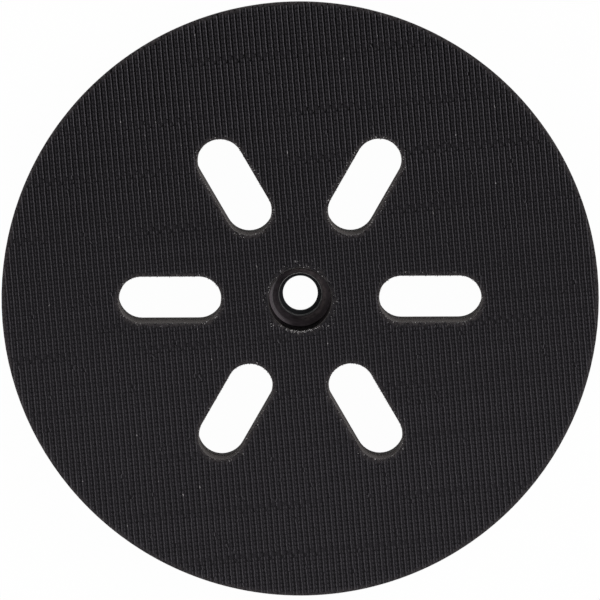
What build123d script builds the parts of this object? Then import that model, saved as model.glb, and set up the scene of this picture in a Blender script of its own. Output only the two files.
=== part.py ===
"""Backing pad of a random orbital sander.

A hook facing and its adhesive film, on a foam cushion, on a moulded carrier plate with a steel hub bush.
Millimetres. +Z points out of the hook face. The origin is the centre of the hub boss's rear rim, on which
the pad lies when it is put down face up. +X runs along one dust slot.
"""

import os

from build123d import *

# Disc and dust slots
PAD_DIAMETER = 150.0
SLOT_COUNT = 6
SLOT_WIDTH = 11.8
SLOT_LENGTH = 26.2
SLOT_SETBACK = 1.6  # from the hub boss to the inner end of a die-cut slot
SLOT_RELIEF = 0.1  # moulded slots are wider than die-cut ones by this much all round

# Hook facing and the film that bonds it
CLOTH_THICKNESS = 0.6
PILE_HEIGHT = 1.2  # from the cloth to the tips of the hooks
FILM_THICKNESS = 0.2
FACING_HOLE_RELIEF = 0.15  # radial, from the foam's hole to the die-cut hole

# Foam cushion
FOAM_THICKNESS = 9.2
FOAM_EDGE_HEIGHT = 1.2  # straight part of the rim, next to the face
FOAM_FLANK_RUN = 7.0  # radial, over the sloping flank
FOAM_RIM_WIDTH = 4.0  # foam left around the carrier plate
FOAM_LIP = 1.5  # how far the foam reaches back over the plate's edge
FOAM_SHOULDER_RADIUS = 2.4
FOAM_REAR_RADIUS = 1.2
FOAM_HOLE_LEDGE = 0.5  # radial, the plate that shows inside the foam's hole

# Carrier plate
WEB_THICKNESS = 3.0
DISH_RUN = 1.65  # radial, over the sloping wall that takes the screw's head
DISH_MARGIN = 0.25  # radial, the bush's flat ring that shows inside the dish
DISH_ROUNDING = 0.8
COLLAR_WALL = 1.8
COLLAR_DROP = 2.5  # rearwards from the web
RIB_THICKNESS = 2.0
RIB_DROP = 2.0  # rearwards from the web
RIB_SPREAD_DEG = 14.0  # side ribs, either side of the middle rib
TRACK_WIDTH = 8.0  # flat ring on which the machine's brake seal runs
TRACK_DROP = 2.5  # rearwards from the web
BOSS_WALL = 3.8
MOULD_ROUNDING = 0.4  # rear edges of everything moulded on the web

# Drive socket in the boss
SOCKET_DIAMETER = 25.0
SOCKET_DEPTH = 4.5
LOBE_COUNT = 12
LOBE_DIAMETER = 3.4

# Hub bush
SCREW_BORE_DIAMETER = 8.8
LIP_THICKNESS = 1.2
COUNTERBORE_DIAMETER = 10.6
BUSH_WALL = 3.2
BUSH_HEIGHT = 4.4
FLANGE_RIM = 2.5
FLANGE_THICKNESS = 2.0
BUSH_COVER = 0.2  # web moulded over the flange
BUSH_CHAMFER = 0.1

# Radii that follow
pad_radius = PAD_DIAMETER / 2
foam_rear_radius = pad_radius - FOAM_FLANK_RUN
carrier_radius = foam_rear_radius - FOAM_RIM_WIDTH
track_inner_radius = carrier_radius - TRACK_WIDTH
lobe_radius = LOBE_DIAMETER / 2
boss_radius = SOCKET_DIAMETER / 2 + lobe_radius + BOSS_WALL
slot_centre_radius = boss_radius + SLOT_SETBACK + SLOT_LENGTH / 2
dish_floor_radius = COUNTERBORE_DIAMETER / 2 + BUSH_CHAMFER + DISH_MARGIN
dish_mouth_radius = dish_floor_radius + DISH_RUN
foam_hole_radius = dish_mouth_radius + FOAM_HOLE_LEDGE
facing_hole_radius = foam_hole_radius + FACING_HOLE_RELIEF
bush_body_radius = COUNTERBORE_DIAMETER / 2 + BUSH_WALL
bush_flange_radius = bush_body_radius + FLANGE_RIM

# Levels that follow, from the boss's rear rim to the tips of the hooks
bush_rear = SOCKET_DEPTH
bush_front = bush_rear + BUSH_HEIGHT
web_rear = bush_front + BUSH_COVER
web_front = web_rear + WEB_THICKNESS
foam_front = web_front + FOAM_THICKNESS
film_front = foam_front + FILM_THICKNESS
facing_front = film_front + CLOTH_THICKNESS + PILE_HEIGHT
rib_rear = web_rear - RIB_DROP
track_rear = web_rear - TRACK_DROP
collar_rear = web_rear - COLLAR_DROP
foam_rear = web_front - FOAM_LIP

slot_step_deg = 360 / SLOT_COUNT
slot_angles = [i * slot_step_deg for i in range(SLOT_COUNT)]
rib_angles = [angle + slot_step_deg / 2 for angle in slot_angles]


def prism(sketch, bottom, top):
    """The sketch as a straight solid between two levels."""
    return extrude(Pos(0, 0, bottom) * sketch, amount=top - bottom)


def slots(growth):
    """The dust slots' outlines, each grown by this much all round."""
    outline = SlotOverall(SLOT_LENGTH + 2 * growth, SLOT_WIDTH + 2 * growth)
    return [Rot(0, 0, angle) * Pos(slot_centre_radius, 0) * outline for angle in slot_angles]


def spoke(angle, start, end):
    """A rib's outline, from one radius to another."""
    return Rot(0, 0, angle) * Pos((start + end) / 2, 0) * Rectangle(end - start, RIB_THICKNESS)


def turned(points):
    """A solid of revolution about Z from (radius, level) points."""
    return revolve(make_face(Polyline([(r, 0, z) for r, z in points], close=True)), Axis.Z)


def circles_by_level(solid):
    """The solid's circular edges, grouped by level from the rear."""
    return solid.edges().filter_by(GeomType.CIRCLE).group_by(Axis.Z)


def die_cut_layer(bottom, top):
    """A full disc cut with the slots and the centre hole, as the facing and its film are."""
    outline = Circle(pad_radius) - [Circle(facing_hole_radius), *slots(0)]
    return prism(outline, bottom, top)


def hook_facing():
    """The hook cloth, as one solid from its back to the tips of its hooks."""
    return die_cut_layer(film_front, facing_front)


def bond_film():
    """The adhesive film between the foam and the cloth."""
    return die_cut_layer(foam_front, film_front)


def foam_cushion():
    """The moulded foam: straight rim at the face, sloping flank, and a lip around the carrier plate."""
    body = turned(
        [
            (foam_hole_radius, foam_front),
            (pad_radius, foam_front),
            (pad_radius, foam_front - FOAM_EDGE_HEIGHT),
            (foam_rear_radius, foam_rear),
            (carrier_radius, foam_rear),
            (carrier_radius, web_front),
            (foam_hole_radius, web_front),
        ]
    )
    shoulder = circles_by_level(body)[-2]
    body = fillet(shoulder, FOAM_SHOULDER_RADIUS)
    rear = circles_by_level(body)[0].sort_by(SortBy.RADIUS)[-1]
    body = fillet(rear, FOAM_REAR_RADIUS)
    return body - [prism(outline, foam_rear, foam_front) for outline in slots(SLOT_RELIEF)]


def socket_outline():
    """The drive socket: a round hole with lobes that take the machine's driver."""
    lobes = PolarLocations(SOCKET_DIAMETER / 2, LOBE_COUNT) * Circle(lobe_radius)
    return Circle(SOCKET_DIAMETER / 2) + lobes


def bush_blank():
    """The bush's outside, which is also the space that it fills in the carrier plate."""
    body = prism(Circle(bush_body_radius), bush_rear, bush_front)
    flange = prism(Circle(bush_flange_radius), bush_front - FLANGE_THICKNESS, bush_front)
    return body + flange


def moulded(outline, rear):
    """Something that stands on the web's rear side, with its rear edges rounded."""
    solid = prism(outline, rear, web_rear)
    return fillet(solid.edges().filter_by_position(Axis.Z, rear, rear), MOULD_ROUNDING)


def carrier_plate():
    """The moulded plate: web, brake track, ribs, slot collars and the boss with its drive socket."""
    web = prism(Circle(carrier_radius), web_rear, web_front)
    track = moulded(Circle(carrier_radius) - Circle(track_inner_radius), track_rear)
    boss = moulded(Circle(boss_radius), 0)
    collars = [moulded(outline, collar_rear) for outline in slots(SLOT_RELIEF + COLLAR_WALL)]

    # Ribs start inside the boss or a collar and end inside the track
    track_middle = track_inner_radius + TRACK_WIDTH / 2
    boss_inside = boss_radius - BOSS_WALL / 2
    collar_inside = slot_centre_radius - SLOT_LENGTH / 4
    spokes = [spoke(angle, boss_inside, track_middle) for angle in rib_angles]
    spokes += [spoke(angle, slot_centre_radius, track_middle) for angle in slot_angles]
    for side in (-RIB_SPREAD_DEG, RIB_SPREAD_DEG):
        spokes += [spoke(angle + side, collar_inside, track_middle) for angle in rib_angles]
    ribs = [moulded(outline, rib_rear) for outline in spokes]

    plate = web + [track, boss, *collars, *ribs]
    plate -= [prism(outline, 0, web_front) for outline in slots(SLOT_RELIEF)]
    plate -= prism(socket_outline(), 0, SOCKET_DEPTH)
    plate -= bush_blank()
    plate -= turned(
        [
            (0, bush_front),
            (dish_floor_radius, bush_front),
            (dish_mouth_radius, web_front),
            (0, web_front),
        ]
    )
    mouth = circles_by_level(plate)[-1].sort_by(SortBy.RADIUS)[0]
    return fillet(mouth, DISH_ROUNDING)


def hub_bush():
    """The turned bush: a flange held by the web, a counterbore, and the lip that the screw passes through."""
    bore = SCREW_BORE_DIAMETER / 2
    counterbore = COUNTERBORE_DIAMETER / 2
    lip_front = bush_rear + LIP_THICKNESS
    return bush_blank() - turned(
        [
            (0, bush_rear),
            (bore, bush_rear),
            (bore, lip_front),
            (counterbore, lip_front),
            (counterbore, bush_front - BUSH_CHAMFER),
            (counterbore + BUSH_CHAMFER, bush_front),
            (0, bush_front),
        ]
    )


os.makedirs("parts", exist_ok=True)
for make in (hook_facing, bond_film, foam_cushion, carrier_plate, hub_bush):
    export_step(make(), f"parts/{make.__name__}.step")
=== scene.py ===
import math
import random

import bmesh
import bpy
from mathutils import Matrix, Vector, noise


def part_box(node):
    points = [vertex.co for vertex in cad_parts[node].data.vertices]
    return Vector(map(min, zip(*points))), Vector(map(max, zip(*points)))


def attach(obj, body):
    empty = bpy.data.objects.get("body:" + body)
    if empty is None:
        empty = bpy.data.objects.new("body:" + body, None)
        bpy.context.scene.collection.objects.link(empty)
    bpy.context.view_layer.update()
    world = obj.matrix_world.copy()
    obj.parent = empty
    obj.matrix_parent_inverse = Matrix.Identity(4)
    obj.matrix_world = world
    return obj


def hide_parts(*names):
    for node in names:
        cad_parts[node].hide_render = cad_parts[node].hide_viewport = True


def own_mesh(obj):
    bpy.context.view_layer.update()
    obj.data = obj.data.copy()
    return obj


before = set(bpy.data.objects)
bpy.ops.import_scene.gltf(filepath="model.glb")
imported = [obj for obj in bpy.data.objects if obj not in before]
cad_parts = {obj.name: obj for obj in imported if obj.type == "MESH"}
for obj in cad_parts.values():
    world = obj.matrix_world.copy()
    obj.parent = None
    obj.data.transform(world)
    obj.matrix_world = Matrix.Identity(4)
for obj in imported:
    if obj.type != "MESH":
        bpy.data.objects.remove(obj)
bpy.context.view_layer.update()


# Hub bush
# A turned steel bush with a dark oxide finish, moulded into the carrier plate. The flat ring around its
# counterbore is rubbed bright, and the lip at its rear has the hole for a screw.

MM = 0.001
BUSH_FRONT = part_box("hub_bush")[1][2]
LIP_FRONT = BUSH_FRONT - 3.2 * MM
RUBBED_RADIUS = 5.45 * MM


class Value:
    """An output socket of a finish's nodes, for use in sums."""

    def __init__(self, finish, socket):
        self.finish = finish
        self.socket = socket

    def to(self, operation, other=0.0):
        return self.finish.node("ShaderNodeMath", {"operation": operation}, {0: self, 1: other})

    def __add__(self, other):
        return self.to("ADD", other)

    def __sub__(self, other):
        return self.to("SUBTRACT", other)

    def __rsub__(self, other):
        return self * -1.0 + other

    def __mul__(self, other):
        return self.to("MULTIPLY", other)

    def __pow__(self, other):
        return self.to("POWER", other)

    __radd__ = __add__
    __rmul__ = __mul__

    def between(self, low, high):
        """0 below low, 1 above high, and smooth from one to the other."""
        ends = {"Value": self, "From Min": low, "From Max": high}
        return self.finish.node("ShaderNodeMapRange", {"interpolation_type": "SMOOTHSTEP"}, ends)


def length(first, second):
    """The length of a step with these two parts."""
    return (first * first + second * second) ** 0.5


class Finish:
    """A material with one principled shader, and the nodes that feed it."""

    def __init__(self, name, constants):
        self.material = bpy.data.materials.new(name)
        self.material.use_nodes = True
        self.tree = self.material.node_tree
        self.shader = self.tree.nodes["Principled BSDF"]
        self.feed(constants)

    def node(self, kind, settings={}, inputs={}, output=0):
        node = self.tree.nodes.new(kind)
        for name, setting in settings.items():
            setattr(node, name, setting)
        for name, value in inputs.items():
            self.join(node.inputs[name], value)
        return Value(self, node.outputs[output])

    def join(self, socket, value):
        if isinstance(value, Value):
            self.tree.links.new(value.socket, socket)
        else:
            socket.default_value = value

    def feed(self, values):
        for name, value in values.items():
            self.join(self.shader.inputs[name], value)

    def place(self):
        return self.node("ShaderNodeTexCoord", output="Object")

    def parts(self, vector):
        split = self.node("ShaderNodeSeparateXYZ", inputs={0: vector}).socket.node
        return [Value(self, socket) for socket in split.outputs]

    def vector(self, x, y, z):
        return self.node("ShaderNodeCombineXYZ", inputs={0: x, 1: y, 2: z})

    def noise(self, vector, scale, detail=3.0, roughness=0.55):
        inputs = {"Vector": vector, "Scale": scale, "Detail": detail, "Roughness": roughness}
        return self.node("ShaderNodeTexNoise", inputs=inputs)

    def cells(self, vector, scale):
        return self.node("ShaderNodeTexVoronoi", inputs={"Vector": vector, "Scale": scale})

    def mix(self, share, first, second):
        sockets = {0: share, 6: first, 7: second}
        return self.node("ShaderNodeMix", {"data_type": "RGBA"}, sockets, output=2)

    def bump(self, height, depth, strength=1.0):
        inputs = {"Height": height, "Distance": depth, "Strength": strength}
        return self.node("ShaderNodeBump", inputs=inputs)

    def by_slot(self):
        """Distances from the axis along the nearest slot's middle, to its side, and from its outline."""
        x, y, _ = self.parts(self.place())
        angle = y.to("ARCTAN2", x)
        turn = angle - (angle * (SLOT_COUNT / math.tau)).to("ROUND") * (math.tau / SLOT_COUNT)
        radius = length(x, y)
        along = radius * turn.to("COSINE")
        aside = (radius * turn.to("SINE")).to("ABSOLUTE")
        past_run = ((along - SLOT_CENTRE).to("ABSOLUTE") - SLOT_HALF_RUN).to("MAXIMUM", 0)
        return along, aside, length(past_run, aside) - SLOT_HALF_WIDTH


def coat(piece, finish):
    piece.data.materials.clear()
    piece.data.materials.append(finish.material)


turned_steel = Finish("dark_turned_steel", {"Metallic": 1.0})
x, y, z = turned_steel.parts(turned_steel.place())
radius = length(x, y)
turning = turned_steel.noise(turned_steel.vector(radius * 9000, z * 9000, 0), 1.0, 2.0)
blotches = turned_steel.noise(turned_steel.place(), 700, 3.0)
ring_inside = 1 - (radius - 0.003 * y).between(RUBBED_RADIUS, RUBBED_RADIUS + 0.06 * MM)
ring_front = z.between(BUSH_FRONT - 0.1 * MM, BUSH_FRONT - 0.03 * MM)
rubbed = ring_inside * ring_front * (0.6 + 0.4 * blotches) * (1 + 25 * y)
oxide = turned_steel.mix(blotches, (0.015, 0.0165, 0.019, 1), (0.027, 0.029, 0.033, 1))
lip = (1 - z.between(LIP_FRONT - 0.2 * MM, LIP_FRONT + 0.2 * MM)) * 0.04
turned_steel.feed({
    "Base Color": turned_steel.mix(rubbed + 0.05 * turning + lip, oxide, (0.34, 0.325, 0.32, 1)),
    "Roughness": 0.58 - 0.26 * rubbed + 0.16 * (turning - 0.5),
    "Normal": turned_steel.bump(turning, 0.02 * MM, 0.6),
})
coat(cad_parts["hub_bush"], turned_steel)


# Carrier plate
# One moulding of black glass-filled nylon: web, ribs, slot collars, brake track and boss. The tool left a
# fine grain and ejector pin marks. The brake seal has polished the track, and dust has greyed the slots.
# On the dish, the left of its edge and ledge carries a painted highlight, its right side is painted
# lighter as painted light, and its upper edge on that side is painted darker as painted shade.

WEB_REAR = 9.1 * MM
TRACK_REAR = 6.6 * MM
TRACK_INNER = 56.0 * MM
DISH_MOUTH = 7.8 * MM
DISH_EDGE = 11.3 * MM
DISH_SHADE_LEVEL = 9.8 * MM
WEB_FRONT = 12.1 * MM
SLOT_COUNT = 6
SLOT_HALF_WIDTH = 5.9 * MM
SLOT_HALF_RUN = 7.2 * MM
SLOT_CENTRE = 32.7 * MM
PIN_RADIUS = 1.6 * MM
PIN_ALONG = 51.4 * MM
PIN_ASIDE = 7.0 * MM

moulded_nylon = Finish("black_moulded_nylon", {"Specular IOR Level": 0.04, "Coat Roughness": 0.34})
place = moulded_nylon.place()
x, y, z = moulded_nylon.parts(place)
radius = length(x, y)
grain = moulded_nylon.noise(place, 5200, 3.0, 0.6)
flow = moulded_nylon.noise(place, 55, 4.0, 0.6)
fibres = moulded_nylon.noise(moulded_nylon.vector(radius * 260, y * 2600, x * 2600), 1.0, 2.0)
scuffs = moulded_nylon.noise(moulded_nylon.vector(radius * 5200, z * 900, 0), 1.0, 2.0)
track_face = 1 - z.between(TRACK_REAR + 0.1 * MM, TRACK_REAR + 0.3 * MM)
track = radius.between(TRACK_INNER - 0.4 * MM, TRACK_INNER) * track_face
boss_rim = 1 - z.between(0.05 * MM, 0.3 * MM)
dish_mouth = 1 - radius.between(DISH_MOUTH, DISH_MOUTH + 0.1 * MM)
dish = dish_mouth * z.between(BUSH_FRONT - 0.1 * MM, BUSH_FRONT)
# Painted highlight: on the left side only, the dish's rounded edge and ledge get a lighter colour and a
# glossy coat, where the key light from the right would catch them
painted_highlight_side = (0.96 * x + 0.28 * y).between(-3.5 * MM, -7 * MM)
painted_highlight_rim = dish * z.between(DISH_EDGE, DISH_EDGE + 0.3 * MM) * painted_highlight_side
tool_marks = moulded_nylon.noise(moulded_nylon.vector(radius * 2600, z * 2600, 0), 1.0, 2.0)

# Two pins push beside each slot's outer end
along, aside, from_slot = moulded_nylon.by_slot()
in_slot = 1 - from_slot.between(0.15 * MM, 0.3 * MM)
pin_x = along - PIN_ALONG
pin_y = aside - PIN_ASIDE
from_pin = length(pin_x, pin_y)
on_web = 1 - (z - WEB_REAR).to("ABSOLUTE").between(0.1 * MM, 0.2 * MM)
pin_mark = (1 - from_pin.between(PIN_RADIUS - 0.15 * MM, PIN_RADIUS)) * on_web

black = moulded_nylon.mix(flow, (0.012, 0.0115, 0.012, 1), (0.02, 0.019, 0.0195, 1))
greyed = moulded_nylon.mix(fibres.between(0.6, 0.85) * 0.5, black, (0.04, 0.039, 0.038, 1))
worn = track * scuffs.between(0.45, 0.7) + boss_rim * flow.between(0.4, 0.65)
scuffed = moulded_nylon.mix(worn * 0.6, greyed, (0.06, 0.058, 0.057, 1))
dusty = moulded_nylon.mix(in_slot * (0.7 + 0.3 * flow), scuffed, (0.038, 0.0315, 0.0275, 1))
# Painted light and shade on the dish: its right side, which faces away from the key light, is painted
# lighter, and its upper edge on that side is painted darker again
painted_fill_side = (0.95 * x + 0.3 * y).between(-3.5 * MM, 1.5 * MM)
dish_light_and_shade = painted_fill_side * (1 - 0.9 * z.between(DISH_SHADE_LEVEL, DISH_EDGE + 0.3 * MM))
dish_painted_light = moulded_nylon.mix(dish_light_and_shade, (0.06, 0.0495, 0.056, 1), (0.18, 0.15, 0.155, 1))
smudges = moulded_nylon.noise(place, 650, 3.0, 0.6)
streaks = tool_marks.between(0.4, 0.6) * smudges.between(0.4, 0.6)
marked = moulded_nylon.mix(streaks * 0.6 + 0.2 * smudges, dish_painted_light, black)
# Painted highlight: lighter colours on the left of the dish's rounded edge and of the ledge around it
painted_highlight_edge = moulded_nylon.mix(painted_highlight_rim * 0.7, marked, (0.1, 0.085, 0.094, 1))
ledge = z.between(WEB_FRONT - 0.06 * MM, WEB_FRONT - 0.01 * MM) * painted_highlight_side
dish_face = moulded_nylon.mix(ledge * 0.7, painted_highlight_edge, (0.2, 0.17, 0.188, 1))
moulded_nylon.feed({
    "Base Color": moulded_nylon.mix(dish, dusty, dish_face),
    "Roughness": 0.7 + 0.16 * (flow - 0.5),
    "Coat Weight": (1 - in_slot) * (1 - dish) * (0.4 + 0.4 * worn + 0.2 * pin_mark) + 0.75 * painted_highlight_rim,
    "Normal": moulded_nylon.bump(
        grain * (1 - 0.8 * dish) + tool_marks * dish * 0.8 - pin_mark * 2.0, 0.05 * MM, 0.5
    ),
})
coat(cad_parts["carrier_plate"], moulded_nylon)


# Foam cushion
# Charcoal polyurethane foam, moulded on to the carrier plate. It has a fine skin with open cells here and
# there, soft edges and a slightly wavy flank, and dust in its slots.

FOAM_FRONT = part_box("foam_cushion")[1][2]
FOAM_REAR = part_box("foam_cushion")[0][2]
FOAM_EDGE = 75.0 * MM
FOAM_EDGE_ROUNDING = 0.3 * MM
FOAM_EDGE_HEIGHT = 1.2 * MM
FOAM_REAR_EDGE = 68.0 * MM
FOAM_SEAT = 64.0 * MM
FOAM_HOLE = 7.8 * MM
SHOULDER_SETBACK = 0.8 * MM
REAR_SETBACK = 0.6 * MM
SLOT_RELIEF = 0.1 * MM
SLOT_TURNS = [Matrix.Rotation(math.tau * i / SLOT_COUNT, 4, "Z") for i in range(SLOT_COUNT)]
RIM_SEGMENTS = 240
HOLE_SEGMENTS = 72
SLOT_SEGMENTS = 56
WALL_STEPS = 8
FLANK_CUTS = 9
BELLY = 0.42 * MM


def ring(bm, radius, level, segments):
    """A loop of edges around the pad's axis."""
    at = Matrix.Translation((0, 0, level))
    return bmesh.ops.create_circle(bm, segments=segments, radius=radius, matrix=at)["verts"]


def slot_ring(bm, turn, growth, level, segments):
    """A loop around one dust slot: a circle pulled apart along the slot."""
    half_step = Matrix.Rotation(math.pi / segments, 4, "Z")
    end = {"segments": segments, "radius": SLOT_HALF_WIDTH + growth, "matrix": half_step}
    verts = bmesh.ops.create_circle(bm, **end)["verts"]
    for vert in verts:
        vert.co.x += math.copysign(SLOT_HALF_RUN, vert.co.x)
    bmesh.ops.transform(bm, matrix=turn @ Matrix.Translation((SLOT_CENTRE, 0, level)), verts=verts)
    return verts


def loop_edges(verts):
    """The edges that join these vertices to one another."""
    among = set(verts)
    return list(dict.fromkeys(
        edge for vert in verts for edge in vert.link_edges if edge.other_vert(vert) in among
    ))


def deepen(bm, verts, step):
    """Extrudes a loop of edges by a step, and returns its new vertices."""
    made = bmesh.ops.extrude_edge_only(bm, edges=loop_edges(verts))["geom"]
    new = [item for item in made if isinstance(item, bmesh.types.BMVert)]
    bmesh.ops.translate(bm, vec=step, verts=new)
    return new


def finished(bm, name, finish, smooth_below=40):
    """An object at the origin from a bmesh, smooth except over sharp edges."""
    for face in bm.faces:
        face.smooth = True
    for edge in bm.edges:
        edge.smooth = edge.calc_face_angle(0) < math.radians(smooth_below)
    mesh = bpy.data.meshes.new(name)
    bm.to_mesh(mesh)
    bm.free()
    piece = bpy.data.objects.new(name, mesh)
    bpy.context.collection.objects.link(piece)
    coat(piece, finish)
    return piece


bm = bmesh.new()
rim_radius, rim_level = FOAM_EDGE - FOAM_EDGE_ROUNDING, FOAM_FRONT
rim = ring(bm, rim_radius, rim_level, RIM_SEGMENTS)
holes = [ring(bm, FOAM_HOLE, FOAM_FRONT, HOLE_SEGMENTS)]
holes += [slot_ring(bm, turn, SLOT_RELIEF, FOAM_FRONT, SLOT_SEGMENTS) for turn in SLOT_TURNS]
bmesh.ops.triangle_fill(bm, use_beauty=True, edges=bm.edges[:])

corners = []
for radius, level in (
    (FOAM_EDGE, FOAM_FRONT - FOAM_EDGE_ROUNDING),
    (FOAM_EDGE, FOAM_FRONT - FOAM_EDGE_HEIGHT),
    (FOAM_REAR_EDGE, FOAM_REAR),
    (FOAM_SEAT, FOAM_REAR),
    (FOAM_SEAT, WEB_FRONT),
):
    rim = deepen(bm, rim, (0, 0, level - rim_level))
    bmesh.ops.scale(bm, vec=(radius / rim_radius, radius / rim_radius, 1), verts=rim)
    rim_radius, rim_level = radius, level
    corners.append(rim)
walls = [rim]
for loop in holes:
    for _ in range(WALL_STEPS):
        loop = deepen(bm, loop, (0, 0, (WEB_FRONT - FOAM_FRONT) / WALL_STEPS))
    walls.append(loop)
bmesh.ops.triangle_fill(bm, use_beauty=True, edges=[edge for loop in walls for edge in loop_edges(loop)])
for corner, setback in ((corners[1], SHOULDER_SETBACK), (corners[2], REAR_SETBACK)):
    rounding = {"offset": setback, "segments": 5, "profile": 0.5, "material": -1, "affect": "EDGES"}
    bmesh.ops.bevel(bm, geom=loop_edges(corner), **rounding)
flank = [edge for edge in bm.edges if abs(edge.verts[0].co.z - edge.verts[1].co.z) > 4 * MM]
bmesh.ops.subdivide_edges(bm, edges=flank, cuts=FLANK_CUTS)
bmesh.ops.recalc_face_normals(bm, faces=bm.faces)

# Foam never fills its mould quite evenly, so walls and flank wander by about a tenth of a millimetre, and
# the walls of the slots belly out
bm.normal_update()
for vert in bm.verts:
    from_axis = vert.co.xy.length
    lowest = (FOAM_REAR if from_axis > FOAM_SEAT + 2 * MM else WEB_FRONT) + 0.3 * MM
    if lowest < vert.co.z < FOAM_FRONT - 0.1 * MM:
        depth = min(1.0, (FOAM_FRONT - vert.co.z) / (2 * MM))
        sway = noise.noise(vert.co * 160) * 0.1 + noise.noise(vert.co * 520) * 0.05
        belly = 0
        if FOAM_HOLE + 4 * MM < from_axis < FOAM_SEAT:
            belly = BELLY * math.sin(math.pi * (vert.co.z - WEB_FRONT) / (FOAM_FRONT - WEB_FRONT))
        outwards = (sway - 0.05) * depth * MM + belly
        vert.co += Vector((vert.normal.x, vert.normal.y, 0)) * outwards

foam_skin = Finish("charcoal_foam", {"Specular IOR Level": 0.01})
place = foam_skin.place()
x, y, z = foam_skin.parts(place)
# Painted shade: the walls of the centre hole are painted near black, as the deep recess would be in shade
hole_painted_shade = 1 - length(x, y).between(FOAM_HOLE + 0.4 * MM, FOAM_HOLE + 1.0 * MM)
clouds = foam_skin.noise(place, 90, 4.0, 0.6)
pores = foam_skin.cells(place, 2600)
bubbles = foam_skin.cells(place, 900)
open_cells = (1 - bubbles.between(0.16, 0.26)) * foam_skin.noise(place, 300, 1.0).between(0.5, 0.58)
_, _, from_slot = foam_skin.by_slot()
# Dust settled in and around the slots
dust_and_shade_share = (1 - from_slot.between(0.3 * MM, 0.6 * MM)) * (0.6 + 0.8 * (clouds - 0.25))
clean = foam_skin.mix(clouds, (0.056, 0.052, 0.051, 1), (0.084, 0.078, 0.076, 1))
skin = foam_skin.mix(dust_and_shade_share, clean, (0.2, 0.185, 0.181, 1))
pitted = foam_skin.mix(open_cells * 0.7, skin, (0.02, 0.018, 0.017, 1))
# The painted shade is darkest above and below the axis and less dark at the hole's sides
beside_hub = x.to("ABSOLUTE").between(3.5 * MM, 6.5 * MM)
hole_shade_colour = foam_skin.mix(beside_hub, (0.0035, 0.0028, 0.0032, 1), (0.022, 0.018, 0.02, 1))
foam_skin.feed({
    "Base Color": foam_skin.mix(hole_painted_shade, pitted, hole_shade_colour),
    "Roughness": 0.8 + 0.2 * (clouds - 0.5),
    "Normal": foam_skin.bump(pores * 0.6 - open_cells * 1.2 + clouds * 0.4, 0.09 * MM, 0.7),
})
foam = finished(bm, "foam_cushion_moulded", foam_skin)
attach(foam, "carrier")
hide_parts("foam_cushion")
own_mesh(foam)


# Adhesive film
# Dark hot-melt film that bonds the cloth to the foam. Only its cut edge shows, as a thin satin line
# around the rim and inside the slots and the centre hole.

film_glue = Finish("dark_hot_melt", {"IOR": 1.48, "Specular IOR Level": 0.3})
smears = film_glue.noise(film_glue.place(), 850, 3.0)
film_glue.feed({
    "Base Color": film_glue.mix(smears, (0.03, 0.027, 0.025, 1), (0.065, 0.06, 0.056, 1)),
    "Roughness": 0.42 + 0.3 * (smears - 0.5),
    "Normal": film_glue.bump(smears, 0.05 * MM, 0.5),
})
coat(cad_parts["bond_film"], film_glue)


# Hook cloth, ground weave
# Black nylon ground cloth, die-cut with the slots and the centre hole. The die pressed its edges down
# and left them bare and slightly brown. Its rows lean by almost five degrees.

CLOTH_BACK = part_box("hook_facing")[0][2]
CLOTH_TOP = CLOTH_BACK + 0.6 * MM
CLOTH_MIDDLE = (CLOTH_BACK + CLOTH_TOP) / 2
CLOTH_EDGE = 74.95 * MM
CLOTH_HOLE = 8.1 * MM
PRESSED_WIDTH = 1.3 * MM
PRESSED_DROP = 0.2 * MM
ROW_LEAN = math.radians(4.75)
ROW_PITCH = 1.464 * MM
PICK_PITCH = 1.03 * MM

bm = bmesh.new()
ring(bm, CLOTH_EDGE, CLOTH_BACK, RIM_SEGMENTS)
ring(bm, CLOTH_HOLE, CLOTH_BACK, HOLE_SEGMENTS)
for turn in SLOT_TURNS:
    slot_ring(bm, turn, 0, CLOTH_BACK, SLOT_SEGMENTS)
bmesh.ops.triangle_fill(bm, use_beauty=True, edges=bm.edges[:])
cut = bmesh.ops.extrude_face_region(bm, geom=bm.faces[:])["geom"]
top = [item for item in cut if isinstance(item, bmesh.types.BMVert)]
bmesh.ops.translate(bm, vec=(0, 0, CLOTH_TOP - CLOTH_BACK), verts=top)
bmesh.ops.recalc_face_normals(bm, faces=bm.faces)
front = [face for face in bm.faces if face.normal.z > 0.9 and face.calc_center_median().z > CLOTH_MIDDLE]
bmesh.ops.inset_region(bm, faces=front, thickness=PRESSED_WIDTH, use_even_offset=True)
pressed = bm.verts.layers.float.new("pressed")
for vert in bm.verts:
    if any(abs(face.normal.z) < 0.1 for face in vert.link_faces):
        vert[pressed] = 1.0
        if vert.co.z > CLOTH_MIDDLE:
            vert.co.z -= PRESSED_DROP


def weave_place(finish):
    """Places across and along the rows of the weave."""
    turned_back = {"Vector": finish.place(), "Rotation": (0, 0, -ROW_LEAN)}
    across, along, _ = finish.parts(finish.node("ShaderNodeMapping", inputs=turned_back))
    return across, along


def wave(place, pitch, shape="SINE"):
    """A wave between -1 and 1 that repeats at this pitch."""
    return (place * (math.tau / pitch)).to(shape)


ground = Finish("black_nylon_weave", {"Specular IOR Level": 0.03})
across, along = weave_place(ground)
rib = (0.5 - 0.5 * wave(across, ROW_PITCH, "COSINE")) ** 4.0
weave = wave(across, ROW_PITCH / 3) * wave(along, PICK_PITCH / 2)
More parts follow.
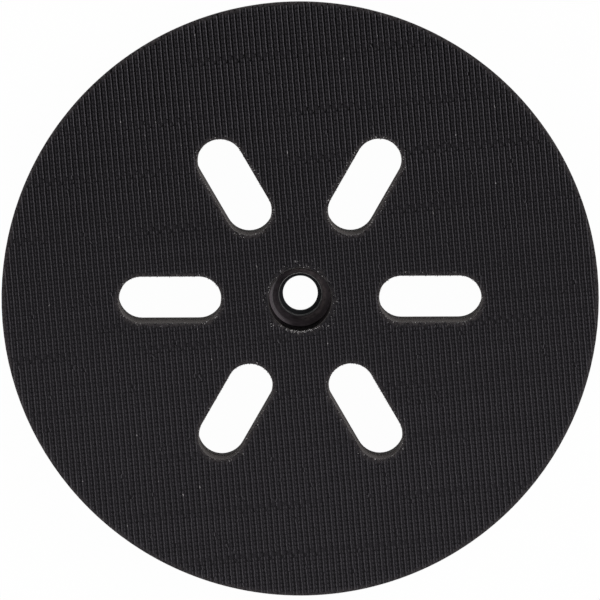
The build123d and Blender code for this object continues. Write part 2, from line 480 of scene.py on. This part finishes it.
# Painted shade: dark spots in the gaps beside each row, between the knuckles, weaker towards the bottom
# of the face
beside = (0.5 + 0.5 * wave(across - 0.72 * ROW_PITCH, ROW_PITCH, "COSINE")) ** 3.0
painted_gap_shade = beside * (0.5 + 0.5 * wave(along, PICK_PITCH, "COSINE")) ** 1.5
fluff = ground.noise(ground.place(), 1500, 3.0)
edge = ground.node("ShaderNodeAttribute", {"attribute_name": "pressed"}, output="Fac")
x, y, _ = ground.parts(ground.place())
round_hub = 1 - length(x, y).between(10.5 * MM, 11.5 * MM)
patches = ground.noise(ground.place(), 420, 2.0).between(0.42, 0.62)
bared = edge * fluff.between(0.35, 0.6) * (1 - round_hub * (1 - patches))
# Painted shadow: towards the top of the face the valley on one side of each row is painted near black, as
# if shaded by the leaning hooks. Towards the bottom it pales, the other valley darkens, the crests
# lighten and fuzz grows.
dust_and_shade_share = y.between(70 * MM, -60 * MM)
painted_shadow_side = ground.mix(dust_and_shade_share, (0.0004, 0.0004, 0.0004, 1), (0.028, 0.0259, 0.0295, 1))
side = 0.5 + 0.5 * wave(across, ROW_PITCH)
open_side = ground.mix(dust_and_shade_share, (0.0235, 0.0218, 0.0247, 1), (0.0155, 0.0144, 0.0163, 1))
valley = ground.mix(side, open_side, painted_shadow_side)
crest = ground.mix(dust_and_shade_share, (0.03, 0.0278, 0.0316, 1), (0.034, 0.0315, 0.0358, 1))
# The valleys between the ribs are painted darker than the crests: painted shade
thread = ground.mix(rib, valley, crest)
fuzz = ((fluff - 0.35) * 0.8 + 0.2 * weave) * (0.2 + 0.8 * dust_and_shade_share)
fuzzy = ground.mix(fuzz, thread, (0.036, 0.0334, 0.038, 1))
pitted = ground.mix(painted_gap_shade * (0.6 - 0.25 * dust_and_shade_share), fuzzy, (0.002, 0.0018, 0.0021, 1))
ground.feed({
    "Base Color": ground.mix(bared, pitted, (0.062, 0.055, 0.056, 1)),
    "Roughness": 0.62 + 0.2 * (fluff - 0.5),
    "Normal": ground.bump(weave + 0.6 * fluff + 0.8 * rib, 0.08 * MM, 0.8),
})
cloth = finished(bm, "hook_cloth_ground", ground)
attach(cloth, "face")
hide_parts("hook_facing")


# Hook cloth, knuckles
# Between two rows of hooks a warp floats over every second weft and makes a rib of small rounded
# knuckles. They sit half a pick away from the hooks. Now and then a tight weft has drawn a pick down.

ROW_TURN = Matrix.Rotation(ROW_LEAN, 4, "Z")
ROW_COUNT = 104
PICK_COUNT = 148
KNUCKLE_WIDTH = 0.54 * MM
KNUCKLE_LENGTH = 0.97 * MM
KNUCKLE_HEIGHT = 0.26 * MM
KNUCKLE_ROOT = CLOTH_TOP - 0.05 * MM
KNUCKLE_EDGE_GAP = 0.7 * MM
WEAVE_DRIFT = 0.05 * MM

chance = random.Random(11)
noise.seed_set(11)
sunk_picks = {}
pick = -PICK_COUNT // 2
while pick < PICK_COUNT // 2:
    pick += chance.randint(5, 16)
    sunk_picks[pick] = chance.uniform(0.15, 0.55) * MM


def sag(row, pick):
    """How far a tight weft has drawn the cloth down at this place. It comes and goes along the pick."""
    share = 0.7 + 1.4 * noise.noise(Vector((row * 0.07, pick * 0.5, 9.1)))
    return sunk_picks.get(pick, 0) * max(share, 0)


def lattice(shift):
    """Each row and pick of the weave with its spot, moved on by a share of the pitch."""
    for row in range(-ROW_COUNT // 2, ROW_COUNT // 2 + 1):
        for pick in range(-PICK_COUNT // 2, PICK_COUNT // 2 + 1):
            drift = noise.noise_vector(Vector((row * 0.21, pick * 0.13, 3.7))) * WEAVE_DRIFT
            spot = Vector(((row + shift) * ROW_PITCH, (pick + shift) * PICK_PITCH, 0))
            yield row, pick, ROW_TURN @ spot + drift


def slackness(finish, across, along):
    """How slack the weave's picks are. It changes from pick to pick and slowly along each."""
    return finish.noise(finish.vector(across * 15, along * 450, 0), 1.0, 2.0)


def edge_gap(spot):
    """How far a spot lies from the cloth's nearest cut edge, and below 0 off the cloth."""
    radius = spot.xy.length
    sector = round(math.atan2(spot.y, spot.x) / math.tau * SLOT_COUNT) % SLOT_COUNT
    there = SLOT_TURNS[-sector] @ spot
    past_run = max(abs(there.x - SLOT_CENTRE) - SLOT_HALF_RUN, 0)
    slot_gap = math.hypot(past_run, there.y) - SLOT_HALF_WIDTH
    return min(radius - CLOTH_HOLE, CLOTH_EDGE - radius, slot_gap)


def sow(bm, seed, places):
    """Appends a copy of the seed mesh at each place."""
    for place in places:
        plant = seed.copy()
        plant.transform(place)
        bm.from_mesh(plant)
        bpy.data.meshes.remove(plant)


def own_patches(bm):
    """Gives every face its own square of the piece's map."""
    uv = bm.loops.layers.uv.new("OFBake")
    side = math.ceil(math.sqrt(len(bm.faces)))
    for index, face in enumerate(bm.faces):
        corner = Vector((index % side, index // side))
        count = len(face.loops)
        for number, loop in enumerate(face.loops):
            angle = math.tau * (number + 0.5) / count
            spoke = Vector((math.cos(angle), math.sin(angle)))
            loop[uv].uv = (corner + Vector((0.5, 0.5)) + 0.55 * spoke) / side


def seed_mesh(bm, name, *ends):
    """A mesh to sow, its open ends closed."""
    for end in ends:
        bmesh.ops.contextual_create(bm, geom=loop_edges(end))
    bmesh.ops.recalc_face_normals(bm, faces=bm.faces)
    mesh = bpy.data.meshes.new(name)
    bm.to_mesh(mesh)
    bm.free()
    return mesh


bm = bmesh.new()
foot = bmesh.ops.create_circle(bm, segments=6, radius=0.5)["verts"]
shoulder = deepen(bm, foot, (0, 0, 0.7))
crown = deepen(bm, shoulder, (0, 0, 0.3))
bmesh.ops.scale(bm, vec=(0.92, 0.95, 1), verts=shoulder)
bmesh.ops.scale(bm, vec=(0.45, 0.65, 1), verts=crown)
bmesh.ops.scale(bm, vec=(KNUCKLE_WIDTH, KNUCKLE_LENGTH, KNUCKLE_HEIGHT), verts=bm.verts)
knuckle_seed = seed_mesh(bm, "knuckle", foot, crown)

knuckle_places = []
for row, pick, spot in lattice(0.5):
    sunk = 0.5 * sag(row, pick)
    size = chance.uniform(0.85, 1.1)
    torn_out = pick in sunk_picks and chance.random() < sunk / (0.3 * MM)
    if edge_gap(spot) > KNUCKLE_EDGE_GAP and not torn_out:
        foot_at = Matrix.Translation((spot.x, spot.y, KNUCKLE_ROOT - sunk))
        knuckle_places.append(foot_at @ ROW_TURN @ Matrix.Diagonal((size, 1, size, 1)))

knuckle_nylon = Finish("black_weft_nylon", {"IOR": 1.5, "Specular IOR Level": 0.12})
place = knuckle_nylon.place()
_, y, z = knuckle_nylon.parts(place)
across, along = weave_place(knuckle_nylon)
slack = slackness(knuckle_nylon, across, along)
# Painted shadow: the left flank of each knuckle is painted near black, fully at the top of the face and
# fading out towards the bottom
shaded_left_flank = wave(across, ROW_PITCH).between(-0.1, 0.5) * y.between(-50 * MM, 40 * MM)
strands = knuckle_nylon.noise(place, 2600, 2.0)
# The knuckles' tops are painted lighter than their roots, partly as painted light, and paler still where
# strands show or picks are slack
crest = z.between(CLOTH_TOP, CLOTH_TOP + 0.2 * MM) * (0.2 + 0.6 * strands + 0.8 * slack)
weft = knuckle_nylon.mix(crest, (0.019, 0.0176, 0.02, 1), (0.047, 0.0435, 0.0494, 1))
knuckle_nylon.feed({
    "Base Color": knuckle_nylon.mix(shaded_left_flank * 0.9, weft, (0.004, 0.0037, 0.0042, 1)),
    "Roughness": 0.5 + 0.2 * (strands - 0.5),
})
for name, on_right in (("left", False), ("right", True)):
    bm = bmesh.new()
    sow(bm, knuckle_seed, [at for at in knuckle_places if (at.translation.x >= 0) == on_right])
    own_patches(bm)
    knuckles = finished(bm, f"weft_knuckles_{name}", knuckle_nylon, smooth_below=80)
    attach(knuckles, "face")
    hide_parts("hook_facing")


# Hook cloth, hooks
# Stiff nylon monofilament woven up through the cloth, looped over and cut on one side. The hooks of a
# row stand end to end, so from above each row reads as one thin bright line.

HOOK_RADIUS = 0.12 * MM
HOOK_BEND = 0.14 * MM
HOOK_FLAT = 0.65 * MM
HOOK_SHANK = 0.94 * MM
HOOK_ROOT = CLOTH_TOP - 0.08 * MM
HOOK_EDGE_GAP = 0.35 * MM
HOOK_END_GAP = 0.15 * MM
HOOK_SPREAD = 1.5
CRUSHED_SPREAD = 7 * HOOK_SPREAD
CRUSHED_SHARE = 0.02
CRUSHED_FALL = 0.00027 / MM
PILE_LEAN = 4.0
PILE_SWING = 1.5
HOOK_GROUPS = 5


def bend_on(bm, verts, centre, degrees):
    """Spins a loop of edges on about a centre, and returns its new vertices."""
    turn = {"cent": centre, "axis": (-1, 0, 0), "angle": math.radians(degrees), "steps": 2}
    made = bmesh.ops.spin(bm, geom=verts + loop_edges(verts), **turn)["geom_last"]
    return [item for item in made if isinstance(item, bmesh.types.BMVert)]


bm = bmesh.new()
root = bmesh.ops.create_circle(bm, segments=5, radius=HOOK_RADIUS)["verts"]
neck = deepen(bm, root, (0, 0, HOOK_SHANK))
back = bend_on(bm, neck, (0, HOOK_BEND, HOOK_SHANK), 90)
front = deepen(bm, back, (0, HOOK_FLAT, 0))
tip = bend_on(bm, front, (0, HOOK_BEND + HOOK_FLAT, HOOK_SHANK), 110)
hook_seed = seed_mesh(bm, "hook", root, tip)

hook_places = []
for row, pick, spot in lattice(0):
    facing = 180 * (row % 2) + PILE_SWING
    sunk = sag(row, pick)
    crushed = chance.random() < CRUSHED_SHARE - CRUSHED_FALL * spot.y
    spread = CRUSHED_SPREAD if crushed else HOOK_SPREAD
    lean = Matrix.Rotation(math.radians(PILE_LEAN + chance.gauss(0, spread)), 4, "Y")
    swing = Matrix.Rotation(math.radians(facing + chance.gauss(0, spread)), 4, "Z")
    nod = Matrix.Rotation(math.radians(chance.gauss(0, spread)), 4, "X")
    drawn_in = 1 - sunk / (1.6 * MM)
    tall = Matrix.Diagonal((1, drawn_in, chance.uniform(0.88, 1.04), 1))
    root_at = Matrix.Translation((spot.x, spot.y, HOOK_ROOT - sunk))
    at = root_at @ ROW_TURN @ lean @ swing @ nod @ tall
    end = at @ Vector((0, 2 * HOOK_BEND + HOOK_FLAT, HOOK_SHANK))
    worn_round_hole = spot.length < CLOTH_HOLE + (0.75 + 0.8 * noise.noise(spot * 350)) * MM
    clear = edge_gap(spot) > HOOK_EDGE_GAP and edge_gap(end) > HOOK_END_GAP
    if clear and not worn_round_hole:
        hook_places.append(at)

hook_nylon = Finish("black_hook_monofilament", {"IOR": 1.53, "Specular IOR Level": 0.2})
place = hook_nylon.place()
x, y, z = hook_nylon.parts(place)
height = z.between(CLOTH_TOP + 0.1 * MM, CLOTH_TOP + 1.0 * MM)
strands = hook_nylon.noise(place, 900, 2.0)
dusted = hook_nylon.noise(place, 260, 3.0)
across, along = weave_place(hook_nylon)
slack = slackness(hook_nylon, across, along)
# Painted light and shade: hooks are painted lighter towards the top of the face, and there their right
# flanks are painted darker, as a painted shadow
shaded_right_flank = wave(across, ROW_PITCH).between(0.5, 0.85)
upper = y.between(0, 60 * MM)
round_hub = length(x, y).between(12 * MM, 9.5 * MM)
glints = (hook_nylon.noise(place, 520, 1.0) + 0.03 * upper + 0.06 * round_hub).between(0.75, 0.79)
top_light_and_flank_shade = (0.72 + 0.36 * upper) * (1 - 0.65 * shaded_right_flank * upper)
# Tips are painted lighter than the roots, which sit in the pile's shade: painted light and shade, with
# random tone from strands, dust and slack picks
tone_and_painted_light = height * top_light_and_flank_shade * (0.14 + 0.55 * strands + 0.25 * dusted + 0.7 * slack)
nylon = hook_nylon.mix(tone_and_painted_light, (0.006, 0.0056, 0.0063, 1), (0.084, 0.0779, 0.0878, 1))
hook_nylon.feed({
    "Base Color": hook_nylon.mix(glints * height, nylon, (0.3, 0.285, 0.29, 1)),
    "Roughness": 0.42 + 0.2 * (dusted - 0.5),
})
bearings = [math.atan2(at.translation.y, at.translation.x) / math.tau + 0.5 for at in hook_places]
for group in range(HOOK_GROUPS):
    bm = bmesh.new()
    placed = zip(hook_places, bearings)
    sow(bm, hook_seed, [at for at, bearing in placed if int(bearing * HOOK_GROUPS) == group])
    own_patches(bm)
    hooks = finished(bm, f"hooks_{group + 1}", hook_nylon, smooth_below=80)
    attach(hooks, "face")
    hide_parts("hook_facing")


# Hook cloth, cut edges
# Die-cutting leaves the ends of wefts and warps standing out of every edge of the cloth, as short pale
# stubs of filament around the rim, the slots and the centre hole. Frayed ones lie on the cloth.

STUB_RADIUS = 0.05 * MM
STUB_ROOT_LENGTH = 0.3 * MM
STUB_END_STEP = Vector((0.08, 0, 0.25)) * MM
RIM_STUBS = 150
HUB_STUBS = 100
LOWER_HUB_STUBS = 60
SLOT_END_STUBS = 64
SLOT_SIDE_STUBS = 23

bm = bmesh.new()
root = bmesh.ops.create_circle(bm, segments=3, radius=STUB_RADIUS)["verts"]
middle = deepen(bm, root, (0, 0, STUB_ROOT_LENGTH))
end = deepen(bm, middle, STUB_END_STEP)
stub_seed = seed_mesh(bm, "stub", root, end)


def around(radius, angle):
    """The spot at this radius and angle from the axis."""
    return Vector((math.cos(angle), math.sin(angle), 0)) * radius


edge_spots = []
for step in range(RIM_STUBS):
    angle = math.tau * (step + chance.random()) / RIM_STUBS
    edge_spots.append((around(CLOTH_EDGE - 0.15 * MM, angle), angle, 0))
hub_angles = [math.tau * step / HUB_STUBS for step in range(HUB_STUBS)]
hub_angles += [math.radians(chance.gauss(270, 13)) for _ in range(LOWER_HUB_STUBS)]
for angle in hub_angles:
    reach = (0, 0.2, 0.4) if math.sin(angle) < -0.8 else (0, 0.9, 1.8, 2.6)
    frayed = chance.choice(reach) * chance.random() * MM
    edge_spots.append((around(CLOTH_HOLE + frayed, angle), angle + math.pi, frayed))
bm = bmesh.new()
for turn in SLOT_TURNS:
    slot_ring(bm, turn, 0, 0, SLOT_END_STUBS)
sides = [edge for edge in bm.edges if edge.calc_length() > 10 * MM]
bmesh.ops.subdivide_edges(bm, edges=sides, cuts=SLOT_SIDE_STUBS)
for vert in bm.verts:
    before, after = (edge.other_vert(vert).co for edge in vert.link_edges)
    run = (before - after).normalized()
    aside = Vector((-run.y, run.x, 0))
    inward = aside if edge_gap(vert.co + aside * 0.5 * MM) < 0 else -aside
    over_slot = vert.co.y > 10 * MM and inward.y < -0.2
    reach = (0, 0.5, 0.9, 1.3) if over_slot else (0, 0, 0, 0.5, 1.2)
    frayed = chance.choice(reach) * chance.random() * MM
    edge_spots.append((vert.co - inward * frayed, math.atan2(inward.y, inward.x), frayed))
bm.free()

stub_places = []
for spot, outward, frayed in edge_spots:
    on_top = min(frayed / (0.5 * MM), 1)
    level = CLOTH_TOP - (1 - on_top) * chance.uniform(0.05, 0.45) * MM + 0.12 * on_top * MM
    at = Matrix.Translation((spot.x, spot.y, level))
    aim = Matrix.Rotation(outward + chance.gauss(0, 0.5), 4, "Z")
    tip = Matrix.Rotation(math.radians(90 - chance.uniform(-10, 50)), 4, "Y")
    roll = Matrix.Rotation(chance.uniform(0, math.tau), 4, "Z")
    thick = chance.uniform(0.8, 1.4) if spot.length > 60 * MM else chance.uniform(1.0, 2.6)
    size = Matrix.Diagonal((thick, thick, chance.uniform(0.35, 0.85), 1))
    back = Matrix.Translation((0, 0, -STUB_ROOT_LENGTH))
    stub_places.append(at @ aim @ tip @ roll @ size @ back)

stub_nylon = Finish("cut_filament", {"IOR": 1.5})
x, y, _ = stub_nylon.parts(stub_nylon.place())
near_hub = (1 - length(x, y).between(10 * MM, 12 * MM)) * y.between(-5 * MM, -7.5 * MM)
strands = stub_nylon.noise(stub_nylon.place(), 1200, 1.0)
pale = (strands + 0.14 * near_hub + 0.09 * y.between(0, 20 * MM)).between(0.47, 0.64)
stub_nylon.feed({
    "Base Color": stub_nylon.mix(pale, (0.03, 0.029, 0.03, 1), (0.38, 0.365, 0.365, 1)),
    "Roughness": 0.45 + 0.2 * (strands - 0.5),
})
bm = bmesh.new()
sow(bm, stub_seed, stub_places)
own_patches(bm)
stubs = finished(bm, "cut_edge_stubs", stub_nylon, smooth_below=80)
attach(stubs, "face")


# Studio
# A pale floor under soft light, the stronger from the right, and a long lens that looks almost straight
# down on the face.

FLOOR_SIZE = 6.0
FLOOR_LEVEL = -0.05 * MM
ROOM_STRENGTH = 0.52
AIM = Vector((0, 0, 0.02))

bpy.context.scene.view_settings.view_transform = "Standard"

bm = bmesh.new()
at = Matrix.Translation((0, 0, FLOOR_LEVEL))
bmesh.ops.create_grid(bm, x_segments=1, y_segments=1, size=FLOOR_SIZE, matrix=at)
paper = Finish("white_paper", {"Base Color": (0.82, 0.82, 0.82, 1), "Roughness": 0.9})
rays = paper.node("ShaderNodeLightPath").socket.node
seen = Value(paper, rays.outputs["Is Camera Ray"])
for kind in ("Is Glossy Ray", "Is Transmission Ray"):
    seen = seen.to("MAXIMUM", Value(paper, rays.outputs[kind]))
glow = paper.node("ShaderNodeEmission", inputs={"Color": (1, 1, 1, 1), "Strength": 1.0})
lit = Value(paper, paper.shader.outputs[0])
blend = paper.node("ShaderNodeMixShader", inputs={0: seen * 0.98, 1: lit, 2: glow})
paper.tree.links.new(blend.socket, paper.tree.nodes["Material Output"].inputs["Surface"])
floor = finished(bm, "floor", paper)

world = bpy.data.worlds.new("soft_room")
world.use_nodes = True
background = world.node_tree.nodes["Background"]
background.inputs["Color"].default_value = (1, 1, 1, 1)
background.inputs["Strength"].default_value = ROOM_STRENGTH
bpy.context.scene.world = world

for name, at, size, power in (
    ("key_soft", (0.75, 0.35, 1.2), 0.8, 7.5),
    ("fill_soft", (-0.6, -0.6, 1.1), 0.9, 4.2),
):
    lamp = bpy.data.lights.new(name, "AREA")
    lamp.size = size
    lamp.energy = power
    light = bpy.data.objects.new(name, lamp)
    light.location = at
    light.rotation_euler = (AIM - Vector(at)).to_track_quat("-Z", "Y").to_euler()
    bpy.context.collection.objects.link(light)

IMAGE_SIDE = 600
FOCAL_PIXELS = 10012.0
FACE_CENTRE = Vector((0, 0, 22.0)) * MM
CAMERA_OFFSET = Vector((9.5, 260.0, 2500.0)) * MM
CAMERA_ROLL = -0.0041

lens = bpy.data.cameras.new("long_lens")
lens.sensor_width = 36
lens.lens = FOCAL_PIXELS * lens.sensor_width / IMAGE_SIDE
lens.shift_x = -0.1 / IMAGE_SIDE
lens.shift_y = -0.4 / IMAGE_SIDE
camera = bpy.data.objects.new("camera", lens)
camera.location = FACE_CENTRE + CAMERA_OFFSET
away = CAMERA_OFFSET.normalized()
right = Vector((0, 1, 0)).cross(away).normalized()
upright = Matrix((right, away.cross(right), away)).transposed()
camera.rotation_euler = (upright @ Matrix.Rotation(CAMERA_ROLL, 3, "Z")).to_euler()
bpy.context.collection.objects.link(camera)
bpy.context.scene.camera = camera
